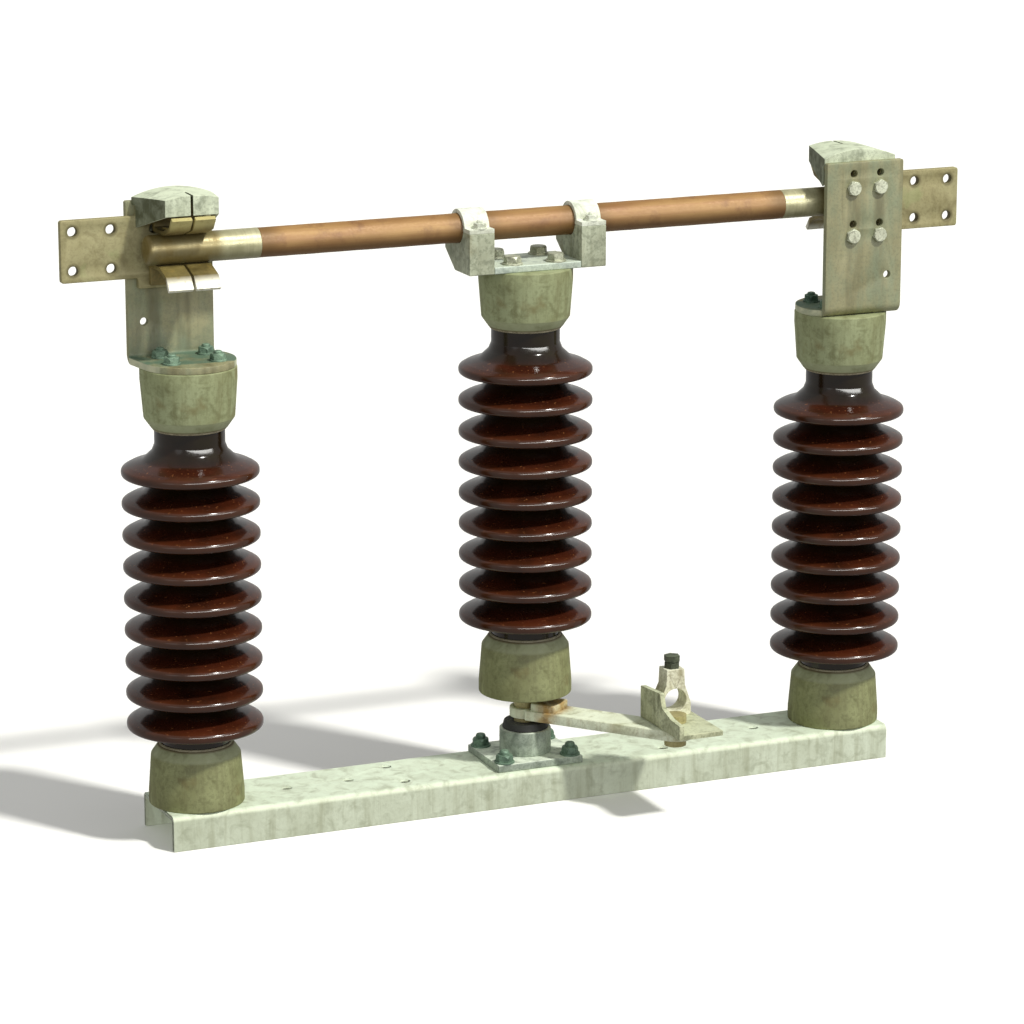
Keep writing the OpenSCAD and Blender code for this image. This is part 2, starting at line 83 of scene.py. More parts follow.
class Mat:
    """A node material with short calls for the few node kinds used here."""

    def __init__(self, name):
        self.m = bpy.data.materials.new(name)
        self.m.use_nodes = True
        self.t = self.m.node_tree
        self.t.nodes.clear()
        self.out = self.t.nodes.new("ShaderNodeOutputMaterial")
        self.s = self.t.nodes.new("ShaderNodeBsdfPrincipled")
        self.t.links.new(self.s.outputs[0], self.out.inputs[0])
        self.tc = self.t.nodes.new("ShaderNodeTexCoord")
        self.geo = self.t.nodes.new("ShaderNodeNewGeometry")
        self.obj = self.tc.outputs["Object"]

    def link(self, a, b):
        self.t.links.new(a, b)

    def scaled(self, sx, sy, sz, src=None, loc=(0, 0, 0)):
        n = self.t.nodes.new("ShaderNodeMapping")
        n.inputs["Scale"].default_value = (sx, sy, sz)
        n.inputs["Location"].default_value = loc
        self.link(src or self.obj, n.inputs["Vector"])
        return n.outputs[0]

    def noise(self, scale, detail=4, rough=0.55, vec=None, distort=0.0):
        n = self.t.nodes.new("ShaderNodeTexNoise")
        n.inputs["Scale"].default_value = scale
        n.inputs["Detail"].default_value = detail
        n.inputs["Roughness"].default_value = rough
        n.inputs["Distortion"].default_value = distort
        self.link(vec or self.obj, n.inputs["Vector"])
        return n.outputs["Fac"]

    def ramp(self, fac, *stops):
        """stops are (position, value or colour); gives the colour output."""
        n = self.t.nodes.new("ShaderNodeValToRGB")
        e = n.color_ramp.elements
        while len(e) < len(stops):
            e.new(0.5)
        for k, (pos, c) in zip(e, stops):
            k.position = pos
            k.color = c if isinstance(c, tuple) else (c, c, c, 1)
        self.link(fac, n.inputs[0])
        return n.outputs[0]

    def mix(self, fac, a, b):
        n = self.t.nodes.new("ShaderNodeMix")
        n.data_type = "RGBA"
        for sock, v in ((n.inputs[0], fac), (n.inputs[6], a), (n.inputs[7], b)):
            if isinstance(v, bpy.types.NodeSocket):
                self.link(v, sock)
            else:
                sock.default_value = v
        return n.outputs[2]

    def math(self, op, a, b=0.0, clamp=False):
        n = self.t.nodes.new("ShaderNodeMath")
        n.operation = op
        n.use_clamp = clamp
        for sock, v in ((n.inputs[0], a), (n.inputs[1], b)):
            if isinstance(v, bpy.types.NodeSocket):
                self.link(v, sock)
            else:
                sock.default_value = v
        return n.outputs[0]

    def step(self, v, low, high):
        """0 below low, 1 above high, smooth between."""
        n = self.t.nodes.new("ShaderNodeMapRange")
        n.interpolation_type = "SMOOTHSTEP"
        n.inputs["From Min"].default_value = low
        n.inputs["From Max"].default_value = high
        self.link(v, n.inputs["Value"])
        return n.outputs[0]

    def xyz(self, vec=None):
        n = self.t.nodes.new("ShaderNodeSeparateXYZ")
        self.link(vec or self.obj, n.inputs[0])
        return n.outputs[0], n.outputs[1], n.outputs[2]

    def up(self):
        """How far the surface faces upwards, -1 to 1."""
        return self.xyz(self.geo.outputs["Normal"])[2]

    def radius(self, a, b):
        return self.math("SQRT", self.math("ADD", self.math("MULTIPLY", a, a),
                                           self.math("MULTIPLY", b, b)))

    def bump(self, height, strength, distance):
        n = self.t.nodes.new("ShaderNodeBump")
        n.inputs["Strength"].default_value = strength
        n.inputs["Distance"].default_value = distance
        self.link(height, n.inputs["Height"])
        return n.outputs[0]

    def done(self, colour, rough, normal=None, metallic=0.0, specular=0.5):
        s = self.s
        self.link(colour, s.inputs["Base Color"])
        self.link(rough, s.inputs["Roughness"])
        if normal is not None:
            self.link(normal, s.inputs["Normal"])
        s.inputs["Metallic"].default_value = metallic
        s.inputs["Specular IOR Level"].default_value = specular
        return self.m


# ---------------------------------------------------------------- materials

def weathered(name, base, light, dark, stain, metallic=0.35, rough=(0.45, 0.8), streak=0.5, grain=260,
              pits=0.25, dust_and_top_light=0.35, dust_and_top_light_colour=None, seed=0.0, spots=0.0, spot_colour=None, tint=None):
    """Weathered metal: cloudy mottling, vertical water streaks, stains, fine pitting, and on upward faces a
    dusting together with painted top light.
    """
    m = Mat(name)
    at = m.scaled(1, 1, 1, loc=(seed, seed * 0.7, seed * 1.3))
    cloud = m.noise(14, 6, 0.62, at)
    fine = m.noise(grain, 5, 0.65, at)
    mid = m.noise(58, 5, 0.6, at, 0.6)
    col = m.mix(m.ramp(cloud, (0.36, 0.0), (0.62, 1.0)), base, light)
    col = m.mix(m.math("MULTIPLY", m.ramp(mid, (0.50, 0.0), (0.68, 1.0)), 0.65), col, dark)
    runs = m.noise(1.0, 5, 0.6, m.scaled(95, 95, 7, at), 0.25)
    runs = m.math("MULTIPLY", m.ramp(runs, (0.48, 0.0), (0.66, 1.0)), streak)
    up = m.up()
    upright = m.math("SUBTRACT", 1.0, m.math("ABSOLUTE", up))
    col = m.mix(m.math("MULTIPLY", runs, upright), col, stain)
    col = m.mix(m.math("MULTIPLY", m.ramp(fine, (0.42, 1.0), (0.5, 0.0)), pits), col, dark)
    if spots:
        sp = m.ramp(m.noise(30, 3, 0.5, m.scaled(1, 1, 1, loc=(seed + 5, 3, 1))), (0.60, 0.0), (0.70, 1.0))
        col = m.mix(m.math("MULTIPLY", sp, spots), col, spot_colour)
    # a dusting and painted sunlight: upward faces are made paler
    dusty_lit_tops = m.math("MULTIPLY", m.step(up, 0.55, 0.95), m.ramp(mid, (0.35, 1.0), (0.65, 0.25)))
    col = m.mix(m.math("MULTIPLY", dusty_lit_tops, dust_and_top_light), col, dust_and_top_light_colour or light)
    if tint:
        col = tint(m, col, mid)
    r = m.ramp(m.math("ADD", m.math("MULTIPLY", cloud, 0.5), m.math("MULTIPLY", fine, 0.5)),
               (0.35, rough[0]), (0.65, rough[1]))
    h = m.math("ADD", m.math("MULTIPLY", fine, 0.6), m.math("MULTIPLY", mid, 0.5))
    return m.done(col, r, m.bump(h, 0.35, 0.0006), metallic)


def shaded_cheeks(m, col, mid):
    """Painted shade, mottled, on faces that look along X."""
    nx = m.math("ABSOLUTE", m.xyz(m.geo.outputs["Normal"])[0])
    mask = m.math("MULTIPLY", m.step(nx, 0.55, 0.85), m.ramp(mid, (0.3, 0.6), (0.6, 0.95)))
    return m.mix(mask, col, lin(74, 78, 46))


def rusty_hub(m, col, mid):
    """Rust round the rotor's shaft."""
    x, y, z = m.xyz()
    near = m.math("SUBTRACT", 1.0, m.step(m.radius(x, y), 0.042, 0.064))
    near = m.math("MULTIPLY", near, m.step(x, -0.006, 0.012))
    mask = m.math("MULTIPLY", near, m.ramp(mid, (0.34, 0.45), (0.56, 1.0)))
    col = m.mix(mask, col, lin(168, 132, 66))
    dark = m.math("MULTIPLY", near, m.ramp(m.noise(90, 4, 0.6), (0.5, 0.0), (0.62, 0.7)))
    return m.mix(dark, col, lin(104, 78, 34))


def pale_collar(m, col, mid):
    """A cap's collar is cleaner than its side, with a brown line where it meets the cement."""
    z = m.math("ABSOLUTE", m.xyz()[2])
    col = m.mix(m.math("MULTIPLY", m.step(z, 0.0560, 0.0595), m.ramp(mid, (0.3, 0.85), (0.65, 0.35))),
                col, lin(172, 178, 140))
    return m.mix(m.math("MULTIPLY", m.step(z, 0.0668, 0.0690), 0.8), col, lin(96, 78, 40))


def holes_ringed(m, col, mid):
    """Dirt round the four holes of a pad."""
    x, y, z = m.xyz()
    off_x = m.math("ABSOLUTE", m.math("SUBTRACT", m.math("ABSOLUTE", x), PAD_MIDDLE * MM))
    off_z = m.math("ABSOLUTE", m.math("SUBTRACT", z, BLADE_HEIGHT * MM))
    dx, dz = (m.math("SUBTRACT", off, PAD_PITCH / 2 * MM) for off in (off_x, off_z))
    near = m.math("SUBTRACT", 1.0, m.step(m.radius(dx, dz), 0.0060, 0.0100))
    return m.mix(m.math("MULTIPLY", near, m.ramp(mid, (0.35, 0.95), (0.65, 0.6))), col, lin(84, 76, 36))


M = {}
# the channel's pale tops are a dusting and painted sunlight
M["channel"] = weathered(
    "galvanised_channel_worn_sunlit", base=lin(190, 197, 172), light=lin(208, 216, 194), dark=lin(158, 164, 138),
    stain=lin(140, 142, 108), dust_and_top_light_colour=lin(222, 236, 212), metallic=0.15, rough=(0.5, 0.8), streak=0.4,
    grain=300, pits=0.15, dust_and_top_light=0.85)
M["bright"] = weathered(
    "galvanised_bright_worn", base=lin(170, 182, 168), light=lin(204, 214, 200), dark=lin(122, 134, 126),
    stain=lin(126, 134, 112), dust_and_top_light_colour=lin(216, 228, 206), metallic=0.2, rough=(0.45, 0.75),
    streak=0.35, grain=340, pits=0.35, dust_and_top_light=0.75, seed=3.1)
M["cap"] = weathered(
    "cast_cap_worn", base=lin(136, 142, 98), light=lin(160, 168, 126), dark=lin(106, 108, 64),
    stain=lin(100, 94, 46), dust_and_top_light_colour=lin(170, 178, 138), spot_colour=lin(112, 98, 44), metallic=0.08,
    rough=(0.6, 0.9), streak=0.45, grain=230, pits=0.3, dust_and_top_light=0.3, spots=0.5, seed=0.4, tint=pale_collar)
# the lower castings use a darker copy of the cap's colours
M["low_cap"] = weathered(
    "lower_cap_worn", base=lin(118, 120, 74), light=lin(142, 146, 100), dark=lin(90, 90, 48),
    stain=lin(80, 72, 34), dust_and_top_light_colour=lin(148, 154, 114), spot_colour=lin(98, 84, 34), metallic=0.08,
    rough=(0.6, 0.9), streak=0.45, grain=230, pits=0.35, dust_and_top_light=0.3, spots=0.55, seed=1.9, tint=pale_collar)
M["bearing"] = weathered(
    "bearing_steel_worn", base=lin(140, 150, 136), light=lin(178, 190, 172), dark=lin(86, 98, 86),
    stain=lin(92, 100, 78), dust_and_top_light_colour=lin(240, 250, 230), metallic=0.15, rough=(0.45, 0.8), streak=0.4,
    grain=300, pits=0.35, dust_and_top_light=0.92, seed=2.2)
M["pad"] = weathered(
    "contact_pad_worn", base=lin(146, 137, 92), light=lin(162, 156, 114), dark=lin(116, 106, 64),
    stain=lin(124, 116, 68), dust_and_top_light_colour=lin(172, 166, 122), spot_colour=lin(136, 148, 92), metallic=0.2,
    rough=(0.45, 0.8), streak=0.35, grain=320, pits=0.3, dust_and_top_light=0.2, spots=0.35, seed=4.0,
    tint=holes_ringed)
# the hood's side faces carry painted shade
M["hood"] = weathered(
    "hood_sheet_worn_shaded", base=lin(170, 178, 150), light=lin(214, 222, 196), dark=lin(104, 112, 88),
    stain=lin(96, 100, 70), dust_and_top_light_colour=lin(214, 224, 196), metallic=0.15, rough=(0.5, 0.8), streak=0.3,
    grain=300, pits=0.3, dust_and_top_light=0.85, seed=5.2, tint=shaded_cheeks)
M["lever"] = weathered(
    "lever_steel_worn", base=lin(206, 210, 178), light=lin(228, 234, 208), dark=lin(150, 150, 110),
    stain=lin(160, 132, 70), dust_and_top_light_colour=lin(232, 240, 216), spot_colour=lin(168, 140, 76), metallic=0.1,
    rough=(0.5, 0.8), streak=0.3, grain=280, pits=0.25, dust_and_top_light=0.7, spots=0.35, seed=6.1, tint=rusty_hub)
M["clamp"] = weathered(
    "clamp_steel_worn", base=lin(160, 162, 126), light=lin(204, 208, 172), dark=lin(92, 96, 66),
    stain=lin(92, 92, 58), dust_and_top_light_colour=lin(206, 214, 182), metallic=0.1, rough=(0.5, 0.85), streak=0.5,
    grain=280, pits=0.4, dust_and_top_light=0.6, seed=7.4)
M["eye"] = weathered(
    "eye_casting_worn", base=lin(208, 206, 176), light=lin(238, 238, 218), dark=lin(138, 130, 92),
    stain=lin(130, 116, 70), dust_and_top_light_colour=lin(232, 236, 210), metallic=0.2, rough=(0.45, 0.8), streak=0.35,
    grain=260, pits=0.4, dust_and_top_light=0.5, seed=8.3)
M["shaft"] = weathered(
    "shaft_steel_worn", base=lin(160, 150, 100), light=lin(196, 188, 140), dark=lin(110, 98, 56),
    stain=lin(120, 96, 44), dust_and_top_light_colour=lin(190, 180, 130), metallic=0.4, rough=(0.35, 0.7), streak=0.4,
    grain=260, pits=0.35, dust_and_top_light=0.3, seed=9.0)
M["saddle"] = weathered(
    "saddle_casting_worn", base=lin(152, 156, 130), light=lin(190, 196, 170), dark=lin(108, 114, 90),
    stain=lin(104, 104, 74), dust_and_top_light_colour=lin(212, 222, 200), spot_colour=lin(128, 120, 80), metallic=0.15,
    rough=(0.5, 0.8), streak=0.4, grain=150, pits=0.5, dust_and_top_light=0.7, spots=0.4, seed=14.1)
M["strap"] = weathered(
    "strap_worn", base=lin(206, 210, 190), light=lin(232, 236, 220), dark=lin(158, 162, 140),
    stain=lin(150, 148, 118), dust_and_top_light_colour=lin(240, 246, 230), metallic=0.1, rough=(0.5, 0.75), streak=0.3,
    grain=340, pits=0.3, dust_and_top_light=0.8, seed=15.3)
M["bolt"] = weathered(
    "bolt_steel_worn", base=lin(150, 152, 128), light=lin(206, 210, 188), dark=lin(84, 86, 64),
    stain=lin(96, 84, 48), dust_and_top_light_colour=lin(214, 220, 196), metallic=0.45, rough=(0.35, 0.7), streak=0.3,
    grain=420, pits=0.4, dust_and_top_light=0.5, seed=10.5)
M["dark_bolt"] = weathered(
    "dark_bolt_worn", base=lin(58, 64, 48), light=lin(92, 100, 78), dark=lin(30, 34, 24),
    stain=lin(60, 44, 22), dust_and_top_light_colour=lin(120, 132, 104), metallic=0.4, rough=(0.4, 0.75), streak=0.3,
    grain=420, pits=0.4, dust_and_top_light=0.4, seed=11.5)
M["green_bolt"] = weathered(
    "foot_bolt_worn", base=lin(70, 98, 80), light=lin(126, 152, 130), dark=lin(34, 56, 42),
    stain=lin(60, 80, 60), dust_and_top_light_colour=lin(150, 176, 150), metallic=0.35, rough=(0.45, 0.8), streak=0.3,
    grain=420, pits=0.4, dust_and_top_light=0.4, seed=12.5)
M["cement"] = weathered(
    "cement_ring", base=lin(150, 142, 112), light=lin(178, 170, 140), dark=lin(96, 88, 60),
    stain=lin(90, 70, 36), dust_and_top_light_colour=lin(170, 166, 138), metallic=0.0, rough=(0.8, 0.95), streak=0.3,
    grain=500, pits=0.5, dust_and_top_light=0.2, seed=13.0)


def bracket_material():
    """The contact bracket: dirt runs below its bolts and a green bloom on the foot and its bend."""
    m = Mat("contact_bracket_worn")
    cloud, mid, fine = m.noise(12, 6, 0.62), m.noise(50, 5, 0.6, None, 0.5), m.noise(300, 5, 0.65)
    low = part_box("left_contact_bracket")[0].z
    x, y, z = m.xyz()
    col = m.mix(m.ramp(cloud, (0.36, 0.0), (0.62, 1.0)), lin(142, 138, 100), lin(164, 160, 122))
    col = m.mix(m.math("MULTIPLY", m.ramp(mid, (0.5, 0.0), (0.7, 1.0)), 0.5), col, lin(122, 126, 92))
    runs = m.noise(1.0, 6, 0.62, m.scaled(66, 66, 4.5), 0.2)
    runs = m.math("MULTIPLY", m.ramp(runs, (0.48, 0.0), (0.66, 1.0)), 0.6)
    col = m.mix(runs, col, lin(112, 108, 72))
    greens = m.ramp(m.noise(1.0, 5, 0.6, m.scaled(26, 26, 9, loc=(3, 1, 7))), (0.46, 0.0), (0.62, 1.0))
    col = m.mix(m.math("MULTIPLY", greens, 0.6), col, lin(128, 144, 116))
    off = m.math("ABSOLUTE", m.math("SUBTRACT", m.math("ABSOLUTE", x), BOLT_MIDDLE * MM))
    across = m.math("SUBTRACT", off, BOLT_HALF_PITCH * MM)
    below = m.math("SUBTRACT", 1.0, m.step(m.math("ABSOLUTE", across), 0.0040, 0.0110))
    below = m.math("MULTIPLY", below, m.math("SUBTRACT", 1.0, m.step(z, 0.655, 0.672)))
    trickle = m.ramp(m.noise(1.0, 4, 0.6, m.scaled(60, 60, 14)), (0.35, 0.1), (0.6, 0.7))
    below = m.math("MULTIPLY", below, trickle)
    col = m.mix(below, col, lin(98, 92, 58))
    col = m.mix(m.math("MULTIPLY", m.ramp(fine, (0.42, 1.0), (0.5, 0.0)), 0.3), col, lin(108, 108, 80))
    inner = m.math("SUBTRACT", 1.0, m.step(m.math("ABSOLUTE", y), 0.0300, 0.0335))
    foot = m.math("SUBTRACT", 1.0, m.step(z, low + 0.012, low + 0.048))
    bloom = m.math("MULTIPLY", m.math("MULTIPLY", foot, inner),
                   m.ramp(m.noise(46, 5, 0.6, m.scaled(1, 1, 1, loc=(9, 2, 4))), (0.36, 0.35), (0.56, 1.0)))
    col = m.mix(bloom, col, lin(88, 112, 90))
    # a pale band along the foot's rim edge
    rim = m.math("MULTIPLY", m.math("SUBTRACT", 1.0, m.step(z, low + 0.0070, low + 0.0080)), inner)
    col = m.mix(m.math("MULTIPLY", rim, m.ramp(mid, (0.3, 0.45), (0.6, 0.9))), col, lin(206, 206, 172))
    r = m.ramp(m.math("ADD", m.math("MULTIPLY", cloud, 0.5), m.math("MULTIPLY", fine, 0.5)),
               (0.35, 0.5), (0.65, 0.85))
    h = m.math("ADD", m.math("MULTIPLY", fine, 0.6), m.math("MULTIPLY", mid, 0.6))
    return m.done(col, r, m.bump(h, 0.4, 0.0007), 0.1)


def porcelain_material():
    """Dark brown glaze, thin and orange at the rims, with painted sunlight in orange on the tops of the
    sheds and a light dusting there.
    """
    m = Mat("brown_glaze")
    x, y, z = m.xyz()
    r = m.radius(x, y)
    cloud, fine = m.noise(20, 5, 0.6), m.noise(240, 4, 0.6)
    col = m.mix(m.ramp(cloud, (0.35, 0.0), (0.65, 1.0)), lin(22, 11, 6), lin(36, 17, 9))
    rim = m.math("MULTIPLY", m.step(r, 0.067, 0.0778), m.ramp(cloud, (0.3, 0.45), (0.7, 1.0)))
    col = m.mix(m.math("MULTIPLY", rim, 0.5), col, lin(92, 52, 28))
    up = m.up()
    # painted sunlight: upward faces of the sheds are made orange
    top = m.math("MULTIPLY", m.step(up, 0.3, 0.95), m.step(r, 0.046, 0.060))
    col = m.mix(m.math("MULTIPLY", top, m.ramp(cloud, (0.3, 0.05), (0.7, 0.42))), col, lin(92, 38, 18))
    dirt = m.math("MULTIPLY", m.math("SUBTRACT", 1.0, m.step(r, 0.044, 0.056)),
                  m.ramp(m.noise(30, 5, 0.6), (0.4, 0.3), (0.65, 1.0)))
    col = m.mix(m.math("MULTIPLY", dirt, 0.7), col, lin(36, 30, 10))
    speck = m.math("MULTIPLY", m.ramp(fine, (0.62, 0.0), (0.72, 1.0)), m.math("MULTIPLY", top, 0.4))
    col = m.mix(speck, col, lin(170, 110, 64))
    rough = m.ramp(m.math("ADD", m.math("MULTIPLY", cloud, 0.6), m.math("MULTIPLY", fine, 0.4)),
                   (0.3, 0.10), (0.7, 0.24))
    h = m.math("ADD", m.math("MULTIPLY", m.noise(46, 3, 0.5), 1.0), m.math("MULTIPLY", fine, 0.08))
    return m.done(col, rough, m.bump(h, 0.18, 0.0008), specular=0.42)


def copper_material():
    """Weathered copper tube: browned, with draw lines along it, darker bands near its fittings, and painted
    shade on its underside.
    """
    m = Mat("copper_tube_worn_shaded")
    x, y, z = m.xyz()
    cloud = m.noise(1.0, 6, 0.6, m.scaled(10, 30, 30))
    lines = m.noise(1.0, 4, 0.6, m.scaled(6, 420, 420))
    fine = m.noise(420, 4, 0.6)
    col = m.mix(m.ramp(cloud, (0.34, 0.0), (0.66, 1.0)), lin(138, 96, 48), lin(170, 132, 76))
    col = m.mix(m.math("MULTIPLY", m.ramp(lines, (0.45, 0.0), (0.7, 1.0)), 0.35), col, lin(138, 88, 46))
    spots = m.ramp(m.noise(44, 4, 0.6, m.scaled(1, 1, 1, loc=(4, 4, 2))), (0.54, 0.0), (0.68, 1.0))
    col = m.mix(m.math("MULTIPLY", spots, 0.5), col, lin(112, 72, 38))
    ax = m.math("ABSOLUTE", x)
    grime = m.math("MULTIPLY", m.step(ax, 0.295, 0.32), 0.75)
    near = m.math("SUBTRACT", 1.0, m.step(m.math("ABSOLUTE", m.math("SUBTRACT", ax, 0.069)), 0.016, 0.040))
    col = m.mix(m.math("MULTIPLY", m.math("ADD", grime, m.math("MULTIPLY", near, 0.6)),
                       m.ramp(cloud, (0.3, 0.5), (0.6, 1.0))), col, lin(104, 74, 26))
    # painted shade: the lower side of the tube is darkened
    shaded_underside = m.math("MULTIPLY", m.step(m.math("MULTIPLY", m.up(), -1.0), -0.25, 0.75), 0.8)
    col = m.mix(shaded_underside, col, lin(98, 66, 22))
    rough = m.ramp(m.math("ADD", m.math("MULTIPLY", cloud, 0.5), m.math("MULTIPLY", fine, 0.5)),
                   (0.35, 0.44), (0.65, 0.64))
    h = m.math("ADD", m.math("MULTIPLY", lines, 0.5), m.math("MULTIPLY", fine, 0.4))
    return m.done(col, rough, m.bump(h, 0.25, 0.0004), 0.15)


def tinned_material():
    """Tinned end of the blade: dull silver with rubbed rings where the fingers wipe it, dark olive brass at
    the far end from worn tin and painted shade in the jaws, and painted shade on its underside.
    """
    m = Mat("tinned_copper_worn_shaded")
    x, y, z = m.xyz()
    cloud, fine = m.noise(34, 5, 0.6), m.noise(400, 4, 0.6)
    rings = m.noise(1.0, 4, 0.6, m.scaled(420, 12, 12))
    col = m.mix(m.ramp(cloud, (0.35, 0.0), (0.65, 1.0)), lin(154, 150, 114), lin(190, 186, 150))
    col = m.mix(m.math("MULTIPLY", m.ramp(rings, (0.5, 0.0), (0.7, 1.0)), 0.35), col, lin(128, 124, 92))
    # worn tin and painted shade: the end in the jaws is made dark olive brass
    worn_shaded_end = m.math("MULTIPLY", m.step(m.math("ABSOLUTE", x), 0.366, 0.380),
                  m.ramp(cloud, (0.35, 0.6), (0.6, 1.0)))
    col = m.mix(m.math("MULTIPLY", worn_shaded_end, 0.92), col, lin(108, 90, 30))
    # painted shade: the lower side is darkened
    shaded_underside = m.math("MULTIPLY", m.step(m.math("MULTIPLY", m.up(), -1.0), 0.1, 0.9), 0.5)
    col = m.mix(shaded_underside, col, lin(96, 90, 56))
    rough = m.ramp(m.math("ADD", m.math("MULTIPLY", cloud, 0.5), m.math("MULTIPLY", fine, 0.5)),
                   (0.35, 0.3), (0.65, 0.55))
    h = m.math("ADD", m.math("MULTIPLY", rings, 0.5), m.math("MULTIPLY", fine, 0.4))
    return m.done(col, rough, m.bump(h, 0.25, 0.0004), 0.35)


def finger_material(name, pale):
    """Contact fingers: olive brass, with painted sunlight that makes the flared lips pale and painted glints
    of brass.
    """
    m = Mat(name)
    x, y, z = m.xyz()
    cloud, fine = m.noise(40, 5, 0.6), m.noise(380, 4, 0.6)
    col = m.mix(m.ramp(cloud, (0.35, 0.0), (0.65, 1.0)), lin(92, 80, 38), lin(134, 120, 66))
    # painted sunlight: the flared lips are made pale
    lip = m.step(m.math("ABSOLUTE", y), 0.034, 0.042)
    col = m.mix(m.math("MULTIPLY", lip, m.ramp(cloud, (0.3, 0.8), (0.6, 1.0))), col, pale)
    # painted glints of brass
    painted_glints = m.math("MULTIPLY", m.ramp(m.noise(120, 4, 0.6), (0.56, 0.0), (0.66, 1.0)), 0.45)
    col = m.mix(painted_glints, col, lin(140, 118, 58))
    rough = m.ramp(m.math("ADD", m.math("MULTIPLY", cloud, 0.5), m.math("MULTIPLY", fine, 0.5)),
                   (0.35, 0.4), (0.65, 0.7))
    return m.done(col, rough, m.bump(fine, 0.3, 0.0004), 0.25)


def rubber_material():
    """Black seal, dusty on top."""
    m = Mat("seal_rubber_dusty")
    cloud, fine = m.noise(40, 5, 0.6), m.noise(400, 4, 0.6)
    col = m.mix(m.ramp(cloud, (0.45, 0.0), (0.7, 1.0)), lin(22, 22, 18), lin(52, 54, 44))
    dusty = m.math("MULTIPLY", m.step(m.up(), 0.5, 0.95), m.ramp(fine, (0.5, 0.0), (0.64, 0.5)))
    col = m.mix(dusty, col, lin(120, 118, 92))
    return m.done(col, m.ramp(cloud, (0.3, 0.55), (0.7, 0.85)), m.bump(fine, 0.3, 0.0005))


def floor_material():
    """Pale, almost even floor."""
    m = Mat("studio_floor")
    fine = m.noise(3, 3, 0.5)
    col = m.mix(m.ramp(fine, (0.3, 0.0), (0.7, 1.0)), lin(246, 246, 243), lin(250, 250, 247))
    return m.done(col, m.ramp(fine, (0.3, 0.85), (0.7, 0.95)))


M["bracket"] = bracket_material()
M["porcelain"] = porcelain_material()
M["copper"] = copper_material()
M["tinned"] = tinned_material()
# the lip colours are painted sunlight, near white on the lower fingers
M["upper_finger"] = finger_material("upper_finger_worn_lit", lin(186, 176, 116))
M["lower_finger"] = finger_material("lower_finger_worn_lit", lin(236, 234, 218))
M["rubber"] = rubber_material()


# ---------------------------------------------------------------- mesh helpers

def rounded(points, closed=False):
    """points are (a, b) or (a, b, radius) in millimetres; gives the outline with its corners rounded."""
    out, n = [], len(points)
    for i, p in enumerate(points):
        r = p[2] if len(p) > 2 else 0
        if r <= 0 or (not closed and i in (0, n - 1)):
            out.append((p[0], p[1]))
            continue
        c = Vector(p[:2])
        u = (Vector(points[i - 1][:2]) - c)
        v = (Vector(points[(i + 1) % n][:2]) - c)
        ang = u.angle(v)
        cut = min(r / math.tan(ang / 2), u.length * 0.49, v.length * 0.49)
        rr = cut * math.tan(ang / 2)
        mid = c + (u.normalized() + v.normalized()).normalized() * (rr / math.sin(ang / 2))
        a, b = c + u.normalized() * cut, c + v.normalized() * cut
        steps = max(2, int(round((math.pi - ang) / math.radians(14))))
        a0, turn = math.atan2(*(a - mid).yx), (b - mid).angle_signed(a - mid)
        for k in range(steps + 1):
            t = a0 + turn * k / steps
            out.append((mid.x + rr * math.cos(t), mid.y + rr * math.sin(t)))
    return out


def finish_mesh(name, bm, material, body, smooth_deg=32, place=None, local=True, flats=False):
    """place is baked into the mesh; with local, its shift stays on the object instead."""
    at = Vector((0, 0, 0))
    if place is not None:
        if local:
            at = place.to_translation()
        bmesh.ops.transform(bm, matrix=Matrix.Translation(-at) @ place, verts=bm.verts)
    bmesh.ops.remove_doubles(bm, verts=bm.verts, dist=1e-7)
    bmesh.ops.recalc_face_normals(bm, faces=bm.faces)
    me = bpy.data.meshes.new(name)
    bm.to_mesh(me)
    bm.free()
    me.materials.append(material)
    if not flats:
        for p in me.polygons:
            p.use_smooth = True
    me.set_sharp_from_angle(angle=math.radians(smooth_deg))
    ob = bpy.data.objects.new(name, me)
    scene.collection.objects.link(ob)
    ob.location = at
    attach(ob, body)
    return ob


def spin(bm, profile, segs, matrix=None, wave=None):
    """Adds the solid of revolution of a (radius, height) profile in millimetres, about Z."""
    rings = []
    for r, h in profile:
        if r < 1e-6:
            rings.append([bm.verts.new((0, 0, h * MM))])
        else:
            ring = []
            for k in range(segs):
                a = 2 * math.pi * k / segs
                rr = r if wave is None else wave(r, h, a)
                ring.append(bm.verts.new((rr * MM * math.cos(a), rr * MM * math.sin(a), h * MM)))
            rings.append(ring)
    made = [v for ring in rings for v in ring]
    for a, b in zip(rings, rings[1:]):
        for k in range(segs):
            quad = [a[k % len(a)], a[(k + 1) % len(a)], b[(k + 1) % len(b)], b[k % len(b)]]
            quad = list(dict.fromkeys(quad))
            if len(quad) > 2:
                bm.faces.new(quad)
    if matrix is not None:
        bmesh.ops.transform(bm, matrix=matrix, verts=made)
    return made


def turned(name, profile, material, body, segs=96, place=None, wave=None, local=True):
    bm = bmesh.new()
    spin(bm, profile, segs, None, wave)
    return finish_mesh(name, bm, material, body, 32, place, local)


def to_axis(at, axis, turn=0.0):
    """Matrix that puts a piece made along +Z at a point in millimetres, along an axis."""
    q = Vector((0, 0, 1)).rotation_difference(Vector(axis))
    return (Matrix.Translation(Vector(at) * MM) @ q.to_matrix().to_4x4()
            @ Matrix.Rotation(turn, 4, "Z"))


